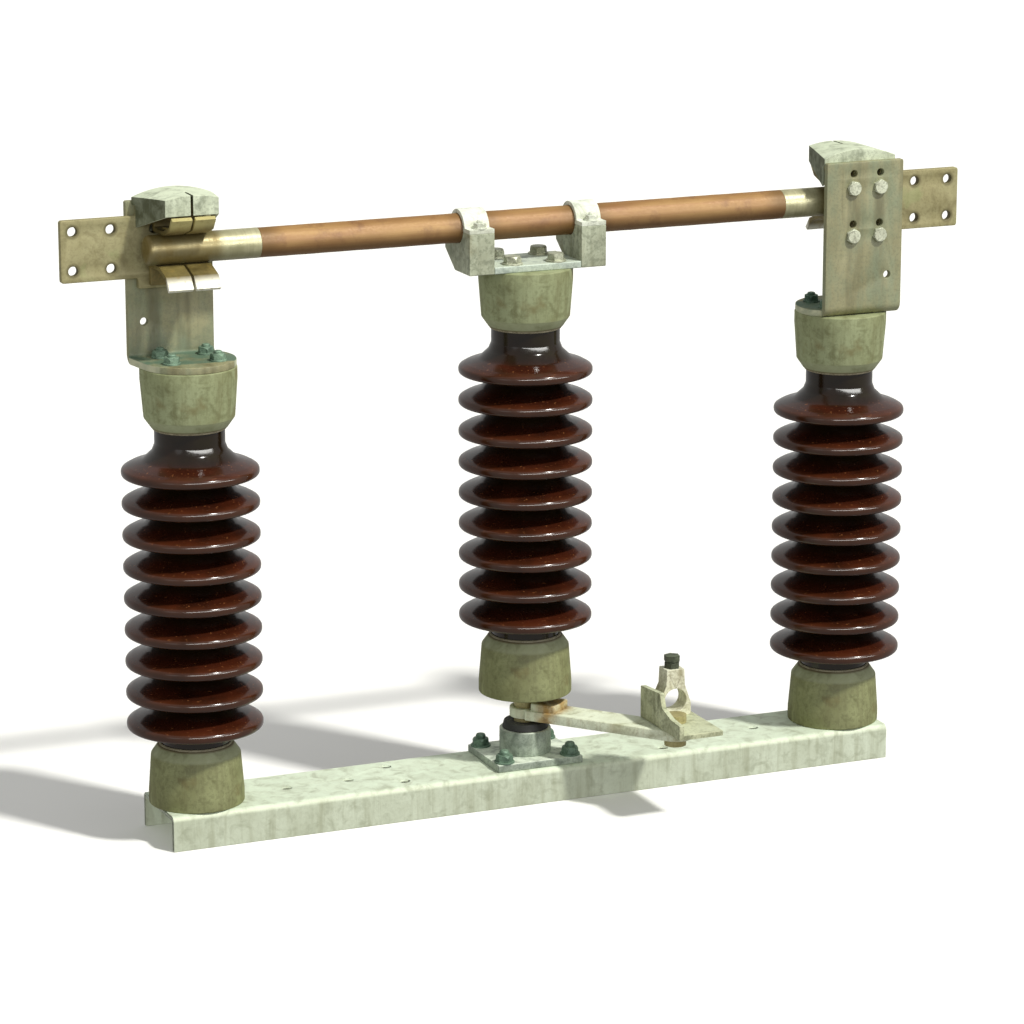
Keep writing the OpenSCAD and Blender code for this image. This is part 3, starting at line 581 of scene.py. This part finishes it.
def add_hex(bm, flats, low, high, matrix):
    """A hexagon with its far corners turned off round, as on a real bolt head or nut."""
    segs = 36
    cap_r = flats / 2 * 0.95
    rings = []
    for h, kind in ((low, "hex"), (high - flats * 0.06, "hex"), (high, "disc")):
        ring = []
        for k in range(segs):
            a = 2 * math.pi * k / segs
            local = (a + math.pi / 6) % (math.pi / 3) - math.pi / 6
            hr = flats / 2 / math.cos(local)
            if kind == "hex" and h != low:
                h2 = high - flats * 0.17 * (hr - flats / 2) / (flats / math.sqrt(3) - flats / 2) - 0.15
            else:
                h2 = h
            rr = hr if kind == "hex" else cap_r
            ring.append(bm.verts.new((rr * MM * math.cos(a), rr * MM * math.sin(a), h2 * MM)))
        rings.append(ring)
    made = [v for ring in rings for v in ring]
    for a, b in zip(rings, rings[1:]):
        for k in range(segs):
            bm.faces.new((a[k], a[(k + 1) % segs], b[(k + 1) % segs], b[k]))
    bm.faces.new(rings[-1])
    bm.faces.new(list(reversed(rings[0])))
    bmesh.ops.transform(bm, matrix=matrix, verts=made)


def add_bolt(bm, at, axis, d, washer=True, shank=0.0, turn=0.3, head=None):
    """Washer, hexagon head or nut, and the threaded end that stands out of it."""
    m = to_axis(at, axis, turn)
    flats = {6: 10, 8: 13, 10: 16, 12: 18, 14: 21}[d]
    h = head or d * 0.65
    z = 0.0
    if washer:
        t = 2.0 if d > 8 else 1.6
        spin(bm, rounded([(0, 0), (d * 1.0, 0), (d * 1.0, t, 0.5), (0, t)]), 40, m)
        z = t
    add_hex(bm, flats, z, z + h, m)
    if shank:
        prof = [(d / 2, z + h - 0.5)]
        pitch = 1.5
        k = 0
        while z + h + (k + 1) * pitch < z + h + shank - 1:
            base = z + h + k * pitch
            prof += [(d / 2, base + 0.3), (d / 2 - 0.6, base + pitch * 0.55), (d / 2, base + pitch)]
            k += 1
        prof += [(d / 2 - 1.2, z + h + shank), (0, z + h + shank)]
        spin(bm, prof, 28, m)


HOLE_SIDES = 32


def inset(outline, d):
    """Moves a counter-clockwise outline inwards by d, with mitred corners."""
    out, n = [], len(outline)
    for i in range(n):
        a, b, c = (Vector(outline[(i + k) % n]) for k in (-1, 0, 1))
        e1, e2 = (b - a).normalized(), (c - b).normalized()
        n1, n2 = Vector((-e1.y, e1.x)), Vector((-e2.y, e2.x))
        m = n1 + n2
        out.append(tuple(b + m * (d / max(0.3, m.dot(n1)))))
    return out


def sheet(name, outline, holes, t, bevel, at, material, body, bend=None):
    """A plate of thickness t with rounded edges and drilled holes. at(u, v, w) gives a point in
    millimetres for a place on the outline and a depth; bend is the (low, high) span in v that at()
    curves, and the outline must have the same points in v on both its sides there."""
    bm = bmesh.new()
    steps = [(0, bevel), (0.13 * bevel, 0.5 * bevel), (0.5 * bevel, 0.13 * bevel), (bevel, 0)]
    layers = [(w, d) for w, d in steps] + [(t - w, d) for w, d in reversed(steps)]
    loops = []
    for w, d in layers:
        ring = inset(outline, d)
        if bend:
            ring = [(u, v0 if bend[0] - 0.01 <= v0 <= bend[1] + 0.01 else v)
                    for (u, v), (_, v0) in zip(ring, outline)]
        turns = [2 * math.pi * k / HOLE_SIDES for k in range(HOLE_SIDES)]
        rims = [[(x + (r + d) * math.cos(a), y + (r + d) * math.sin(a)) for a in turns] for x, y, r in holes]
        loops.append([[(u, v, bm.verts.new(Vector(at(u, v, w)) * MM)) for u, v in loop]
                      for loop in [ring] + rims])
    for one, two in zip(loops, loops[1:]):
        for a, b in zip(one, two):
            for k in range(len(a)):
                j = (k + 1) % len(a)
                bm.faces.new((a[k][2], a[j][2], b[j][2], b[k][2])).smooth = True
    for layer in (loops[0], loops[-1]):
        ring, rims = layer[0], layer[1:]
        if bend is None:
            zones = [(ring, rims)]
        else:
            vs = [v for u, v in outline]
            keep = [[p for p, v in zip(ring, vs) if test(v)]
                    for test in (lambda v: v <= bend[0] + 0.01, lambda v: v >= bend[1] - 0.01)]
            zones = [(keep[0], []), (keep[1], rims)]
            strip = sorted(((p[1], p[0], p[2]) for p, v in zip(ring, vs)
                            if bend[0] - 0.01 <= v <= bend[1] + 0.01), key=lambda q: (round(q[0], 3), q[1]))
            rows = [(strip[i][2], strip[i + 1][2]) for i in range(0, len(strip) - 1, 2)]
            for (a, b), (c, d) in zip(rows, rows[1:]):
                bm.faces.new((a, b, d, c)).smooth = True
        for zone, cuts in zones:
            groups = [[Vector((u, v, 0)) for u, v, _ in g] for g in [zone] + cuts]
            flat = [p[2] for g in [zone] + cuts for p in g]
            for tri in tessellate_polygon(groups):
                if len({flat[i] for i in tri}) == 3:
                    bm.faces.new([flat[i] for i in tri]).smooth = False
    return finish_mesh(name, bm, material, body, 40, None, False, True)


# ---------------------------------------------------------------- insulators

POST_H = 508.0
SHEDS, FIRST_SHED, SHED_PITCH = 9, 94, 36.75
SHED_R, CORE_R, NECK_R, CAP_R = 77.9, 43.0, 39.9, 54.9


def shed_profile():
    """Outline of the porcelain from the lower cap's mouth to the upper one's, in millimetres."""
    pts = [(0, 20), (NECK_R, 20), (NECK_R, 78, 3), (42.5, 84, 3)]
    for i in range(SHEDS):
        z = FIRST_SHED + i * SHED_PITCH
        pts += [(CORE_R, z - 8.0, 3.5), (62, z - 6.4, 8), (70, z - 6.4, 3), (SHED_R, z - 4.6, 4.4),
                (SHED_R, z + 3.6, 5.0), (70, z + 8.0, 8), (54, z + 13.6, 10), (CORE_R, z + 24.0, 6)]
    pts += [(NECK_R, 420, 5), (NECK_R, 488), (0, 488)]
    return rounded(pts)


def cap_profile():
    """Half section of a cast cap, seat down: a short straight side, a taper and a collar."""
    return rounded([(0, 0), (CAP_R, 0, 1.6), (CAP_R, 14, 12), (51.5, 57.5, 3), (43.4, 69.0, 1.6),
                    (40.6, 69.9, 0.6), (40.5, 64), (40.5, 30)])


def cement_profile():
    """The cement that shows as a thin ring between a cap's mouth and the porcelain."""
    return rounded([(40.0, 60), (42.2, 60), (42.0, 70.6, 1.2), (40.2, 72.0, 0.5), (40.0, 70)])


def casting_wave(seed):
    """A cast surface isn't quite round."""
    return lambda r, h, a: r - 0.16 * (1 + math.sin(3 * a + seed + h * 0.02)) * min(1, r / 40)


posts = {"left": "base", "right": "base", "centre": "rotor"}
for k, (side, body) in enumerate(posts.items()):
    lo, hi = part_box(side + "_porcelain")
    foot_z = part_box(side + "_bottom_cap")[0].z
    place = (Matrix.Translation(((lo.x + hi.x) / 2, (lo.y + hi.y) / 2, foot_z))
             @ Matrix.Rotation(0.9 * k, 4, "Z"))
    flip = place @ Matrix.Translation((0, 0, POST_H * MM)) @ Matrix.Rotation(math.pi, 4, "X")
    glazed = turned(side + "_glazed_body", shed_profile(), M["porcelain"], body, 128, place)
    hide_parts(side + "_porcelain")
    for end, node, at, look, wave in (("lower", "_bottom_cap", place, "low_cap", casting_wave(k)),
                                      ("upper", "_top_cap", flip, "cap", casting_wave(k + 2))):
        casting = turned(f"{side}_{end}_casting", cap_profile(), M[look], body, 112, at, wave)
        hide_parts(side + node)
    for end, at in (("lower", place), ("upper", flip)):
        turned(f"{side}_{end}_cement", cement_profile(), M["cement"], body, 96, at)


# ---------------------------------------------------------------- blade

TUBE_WALL = 4
lo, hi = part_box("blade_tube")
blade_z = (lo.z + hi.z) / 2
BZ = blade_z * 1000
half = (hi.x - lo.x) / 2 * 1000
blade_r = (hi.z - lo.z) / 2 * 1000
bore_r = blade_r - TUBE_WALL
lay = Matrix.Translation((0, 0, blade_z)) @ Matrix.Rotation(math.pi / 2, 4, "Y")


def tube_profile():
    """The tube along its length, with the slight waves of an old one."""
    pts = []
    n = 60
    for i in range(n + 1):
        x = -half + 2 * half * i / n
        sag = 0.07 * (1 + math.sin(i * 1.9)) + 0.05 * (1 + math.sin(i * 0.7 + 1))
        pts.append((blade_r - sag, x))
    ends = [(blade_r - 0.5, half), (bore_r, half), (bore_r, -half)]
    return [(bore_r, -half), (blade_r - 0.5, -half)] + pts + ends


tube = turned("copper_blade", tube_profile(), M["copper"], "rotor", 72, lay, None, False)
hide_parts("blade_tube")

for side, sgn in (("left", -1), ("right", 1)):
    lo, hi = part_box(side + "_blade_tip")
    length = (hi.x - lo.x) * 1000
    outside = rounded([(bore_r, 0), (blade_r, 0, 0.8), (blade_r, length, 6), (0, length)])
    place = (Matrix.Translation((sgn * half * MM, 0, blade_z))
             @ Matrix.Rotation(sgn * math.pi / 2, 4, "Y"))
    tip = turned(side + "_tinned_end", [(0, 8), (bore_r, 8)] + outside, M["tinned"], "rotor",
                 72, place, None, False)
    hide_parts(side + "_blade_tip")


# ---------------------------------------------------------------- contact plates, pads and lever

def circle_part(cx, cy, r, a0, a1, n):
    """n + 1 points of a circle between two angles in degrees."""
    return [(cx + r * math.cos(math.radians(a0 + (a1 - a0) * k / n)),
             cy + r * math.sin(math.radians(a0 + (a1 - a0) * k / n))) for k in range(n + 1)]


lo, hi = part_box("right_terminal_pad")
ROOT_X, PAD_END = lo.x * 1000, hi.x * 1000
lo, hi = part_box("right_contact_bracket")
BACK, INS_H, PLATE_TOP, PLATE_END = -lo.y * 1000, lo.z * 1000, hi.z * 1000, hi.x * 1000
PLATE_X = PLATE_END - PLATE_W
BOLT_X = PLATE_X + BOLT_INSET
columns = (BOLT_X - BOLT_HALF_PITCH, BOLT_X + BOLT_HALF_PITCH)
rows = [(h, BOLT_HOLE_R) for h in BOLT_ROWS] + [(h, SPARE_HOLE_R) for h in SPARE_ROWS]
jaw = [(x, BZ + h, r) for x in columns for h, r in rows]

# the sheet's v runs round the outside from the foot's front to the plate's top, 0 at the bend's start
arc = math.pi / 2 * BEND_R


def bracket_point(sgn):
    """Bends the bracket's flat outline into its foot and its upright."""
    def at(u, v, w):
        if v <= 0:
            y, z = -BACK + BEND_R - v, INS_H + w
        elif v >= arc:
            y, z = -BACK + w, INS_H + BEND_R + v - arc
        else:
            a = v / BEND_R
            y = -BACK + BEND_R - (BEND_R - w) * math.sin(a)
            z = INS_H + BEND_R - (BEND_R - w) * math.cos(a)
        return (sgn * u, sgn * y, z)
    return at


def tangent_angle(px, py, side):
    """Where a straight line from a point meets the foot's round, as an angle about the post."""
    d, base = math.hypot(px - POLE_GAP, py), math.atan2(py, px - POLE_GAP)
    return math.degrees(base + side * math.acos(FOOT_R / d))


right_a = tangent_angle(PLATE_END, -BACK + BEND_R, 1)
left_a = tangent_angle(PLATE_X, -BACK, -1) + 360
y_v = lambda y: -(y + BACK - BEND_R)
z_v = lambda z: z - INS_H - BEND_R + arc
top_v = arc + PLATE_TOP - INS_H - BEND_R
foot = [(x, y_v(y)) for x, y in circle_part(POLE_GAP, 0, FOOT_R, left_a, right_a, 44)]
bend_v = [arc * k / 8 for k in range(9)]
plate_head = rounded([(PLATE_END, top_v - 20), (PLATE_END, top_v, 2.5),
                      (PLATE_X, top_v, 2.5), (PLATE_X, top_v - 20)])
outline = (foot + [(PLATE_END, v) for v in bend_v] + plate_head + [(PLATE_X, v) for v in reversed(bend_v)])
low_hole = (PLATE_END - LOW_HOLE_IN, z_v(INS_H + LOW_HOLE_UP), SPARE_HOLE_R)
plate_holes = [(x, z_v(z), r) for x, z, r in jaw] + [low_hole]

root_end = ROOT_X + ROOT_W
pad = [(ROOT_X, BZ - ROOT_HALF_H), (root_end, BZ - ROOT_HALF_H, 2), (root_end, BZ - PAD_HALF_H, 3),
       (PAD_END, BZ - PAD_HALF_H, 3), (PAD_END, BZ + PAD_HALF_H, 3), (root_end, BZ + PAD_HALF_H, 3),
       (root_end, BZ + ROOT_HALF_H, 2), (ROOT_X, BZ + ROOT_HALF_H, 2)]
pad_holes = [(PAD_END - PAD_MARGIN - i * PAD_PITCH, BZ + k * PAD_PITCH / 2, PAD_HOLE_R)
             for i in (0, 1) for k in (-1, 1)]
for side, sgn in (("left", -1), ("right", 1)):
    plate = sheet(side + "_jaw_plate", outline, plate_holes, PLATE_T, 0.9, bracket_point(sgn), M["bracket"],
                  "base", (0.0, arc))
    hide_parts(side + "_contact_bracket")
    bar = sheet(side + "_line_pad", rounded(pad, True), jaw + pad_holes, PLATE_T, 0.8,
                lambda u, v, w, s=sgn: (s * u, s * (-BACK + PLATE_T + w), v), M["pad"], "base")
    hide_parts(side + "_terminal_pad")


LEVER_T, LEVER_HALF_W, HUB_R, SHAFT_HOLE_R, PIN_HOLE_R = 12, 21, 18.5, 13.5, 8
HUB_TURN = 57.3     # degrees to each side of the hub that the bar covers
BLOCK_X0, BLOCK_X1, BLOCK_HALF_W, BLOCK_T, BLOCK_UP = 15.6, 48, 18, 10, 11
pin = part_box("lever_pin")
PIN = ((pin[0].x + pin[1].x) / 2 * 1000, (pin[0].y + pin[1].y) / 2 * 1000)
LEVER_R = math.hypot(*PIN)
LEVER_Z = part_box("operating_lever")[0].z * 1000
along = Vector(PIN) / LEVER_R


def lever_point(z):
    """Lays an outline along the lever, its underside at height z."""
    return lambda u, v, w: (along.x * u - along.y * v, along.y * u + along.x * v, z + w)


arm = ([(10, -LEVER_HALF_W), (LEVER_R, -LEVER_HALF_W)]
       + circle_part(LEVER_R, 0, LEVER_HALF_W, -80, 80, 20) + [(LEVER_R, LEVER_HALF_W), (10, LEVER_HALF_W)]
       + circle_part(0, 0, HUB_R, HUB_TURN, 360 - HUB_TURN, 24))
crank = sheet("crank_arm", arm, [(0, 0, SHAFT_HOLE_R), (LEVER_R, 0, PIN_HOLE_R)], LEVER_T, 1.2,
              lever_point(LEVER_Z), M["lever"], "rotor")
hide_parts("operating_lever")
block = rounded([(BLOCK_X0, -BLOCK_HALF_W, 2), (BLOCK_X1, -BLOCK_HALF_W, 3), (BLOCK_X1, BLOCK_HALF_W, 3),
                 (BLOCK_X0, BLOCK_HALF_W, 2)], True)
sheet("crank_block", block, [], BLOCK_T, 1.4, lever_point(LEVER_Z + BLOCK_UP), M["lever"], "rotor")


# ---------------------------------------------------------------- carried-over CAD nodes

# node: its material, and the width in millimetres of its bevelled edges
carried = {
    "base_channel": ("channel", 0), "bearing_plate": ("bearing", 1.2), "bearing_housing": ("bearing", 1.2),
    "bearing_seal": ("rubber", 1.2), "rotor_shaft": ("shaft", 0.8), "lever_pin": ("shaft", 0.8),
    "blade_bracket": ("bright", 1.2), "clamp_bracket": ("clamp", 1.0), "pipe_eye": ("eye", 1.6),
    "eye_bolt": ("dark_bolt", 0.5),
}
for side in ("left", "right"):
    carried[side + "_upper_fingers"] = ("upper_finger", 0.8)
    carried[side + "_lower_fingers"] = ("lower_finger", 0.8)
    carried[side + "_contact_hood"] = ("hood", 0.6)
    carried[side + "_tube_saddle"] = ("saddle", 1.4)
    carried[side + "_tube_strap"] = ("strap", 0.8)
for name, (look, edge) in carried.items():
    ob = nodes[name]
    if not ob.material_slots:
        ob.data.materials.append(M[look])
    for slot in ob.material_slots:
        slot.material = M[look]
    weld = ob.modifiers.new("weld", "WELD")
    weld.merge_threshold = 0.00002
    if edge:
        bev = ob.modifiers.new("edges", "BEVEL")
        bev.width = edge * MM
        bev.segments = 3
        bev.limit_method = "ANGLE"
        bev.angle_limit = math.radians(34)
        bev.use_clamp_overlap = True
    wn = ob.modifiers.new("even_normals", "WEIGHTED_NORMAL")
    wn.mode = "FACE_AREA"
    wn.weight = 80


# ---------------------------------------------------------------- bolts, nuts and washers

def bolts(name, body, material, items):
    """One mesh of several bolts; each item is a point, an axis, a size and add_bolt's other values."""
    bm = bmesh.new()
    for it in items:
        add_bolt(bm, *it[:3], **it[3])
    return finish_mesh(name, bm, material, body, 30)


FOOT_BOLTS = ((-27, -17), (27, -17), (-27, 24), (27, 24))
BEARING_BOLTS = ((-42, -36), (42, -36), (-42, 36), (42, 36))
CAP_BOLTS = ((-27, -25), (27, -25), (-27, 25), (27, 25))
STRAP_BOLT_Y, STRAP_EAR_T = 30, 3

for side, sgn in (("left", -1), ("right", 1)):
    foot_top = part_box(side + "_contact_bracket")[0].z * 1000 + PLATE_T
    lo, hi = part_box(side + "_top_cap")
    cx = (lo.x + hi.x) / 2 * 1000
    bolts(side + "_foot_bolts", "base", M["green_bolt"],
          [((cx + dx, sgn * dy, foot_top), (0, 0, 1), 10, dict(turn=0.2 + 0.7 * i, shank=3))
           for i, (dx, dy) in enumerate(FOOT_BOLTS)])
    bolts(side + "_finger_bolts", "base", M["bolt"],
          [((sgn * x, -sgn * PLATE_BACK, BZ + h), (0, -sgn, 0), 10,
            dict(turn=0.35 * i, head=4.5, washer=False))
           for i, (x, h) in enumerate((x, h) for x in columns for h in BOLT_ROWS)])

plate_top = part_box("bearing_plate")[1].z * 1000
bolts("bearing_bolts", "base", M["green_bolt"],
      [((x, y, plate_top), (0, 0, 1), 12, dict(turn=0.4 * i, shank=5))
       for i, (x, y) in enumerate(BEARING_BOLTS)])
bracket_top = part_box("blade_bracket")[1].z * 1000
bolts("cap_bolts", "rotor", M["bolt"],
      [((x, y, bracket_top), (0, 0, 1), 12, dict(turn=0.5 * i)) for i, (x, y) in enumerate(CAP_BOLTS)])
for side in ("left", "right"):
    lo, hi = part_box(side + "_tube_strap")
    cx = (lo.x + hi.x) / 2 * 1000
    bolts(side + "_strap_bolts", "rotor", M["strap"],
          [((cx, y, BZ + STRAP_EAR_T), (0, 0, 1), 8, dict(turn=0.3, shank=3))
           for y in (-STRAP_BOLT_Y, STRAP_BOLT_Y)])


# ---------------------------------------------------------------- stage, light and camera

FLOOR_HALF, FLOOR_DROP = 28, 0.0005
bm = bmesh.new()
for x, y in ((-1, -1), (1, -1), (1, 1), (-1, 1)):
    bm.verts.new((x * FLOOR_HALF, y * FLOOR_HALF, cad_low.z - FLOOR_DROP))
bm.faces.new(bm.verts)
me = bpy.data.meshes.new("floor")
bm.to_mesh(me)
bm.free()
me.materials.append(floor_material())
floor = bpy.data.objects.new("floor", me)
scene.collection.objects.link(floor)
floor.visible_diffuse = False
floor.visible_glossy = False


def area(name, at, to, size, power, colour=(1, 1, 1), shine=False):
    """A soft light; one for shine only is seen in polished surfaces and lights nothing else."""
    d = bpy.data.lights.new(name, "AREA")
    d.shape = "DISK"
    d.size = size
    d.energy = power
    d.color = colour
    o = bpy.data.objects.new(name, d)
    o.location = at
    o.rotation_mode = "QUATERNION"
    o.rotation_quaternion = (Vector(to) - Vector(at)).to_track_quat("-Z", "Y")
    o.visible_diffuse = not shine
    scene.collection.objects.link(o)
    return d


sun_data = bpy.data.lights.new("sun", "SUN")
sun_data.energy = 3.1
sun_data.angle = math.radians(5)
sun_data.color = (1.0, 0.985, 0.94)
sun = bpy.data.objects.new("sun", sun_data)
sun.rotation_mode = "QUATERNION"
sun.rotation_quaternion = Vector((-0.34, 0.52, -0.84)).to_track_quat("-Z", "Y")
scene.collection.objects.link(sun)

MIDDLE = (0, 0, 0.35)
strip = area("glaze", (0.6, -3.3, 1.9), MIDDLE, 6.5, 230, (1.0, 1.0, 0.97), True)
strip.shape = "RECTANGLE"
strip.size_y = 0.6
area("side", (-3.2, -2.0, 1.4), MIDDLE, 1.6, 5, (0.95, 0.98, 1.0))

world = bpy.data.worlds.new("studio")
world.use_nodes = True
world.node_tree.nodes["Background"].inputs["Color"].default_value = (1.0, 1.0, 0.985, 1)
world.node_tree.nodes["Background"].inputs["Strength"].default_value = 0.5
scene.world = world
scene.view_settings.view_transform = "Standard"

LENS, AZIMUTH, ELEVATION, DISTANCE = 139.9, -23.2, 13.96, 4.641
TARGET = (-0.0169, 0, 0.3009)
cam_data = bpy.data.cameras.new("camera")
cam_data.lens = LENS
cam_data.sensor_width = 36
cam_data.clip_end = 60
cam = bpy.data.objects.new("camera", cam_data)
az, el = math.radians(AZIMUTH), math.radians(ELEVATION)
backwards = Vector((math.sin(az) * math.cos(el), -math.cos(az) * math.cos(el), math.sin(el)))
cam.location = Vector(TARGET) + backwards * DISTANCE
cam.rotation_mode = "QUATERNION"
cam.rotation_quaternion = (-backwards).to_track_quat("-Z", "Y")
scene.collection.objects.link(cam)
scene.camera = cam

bpy.context.view_layer.update()
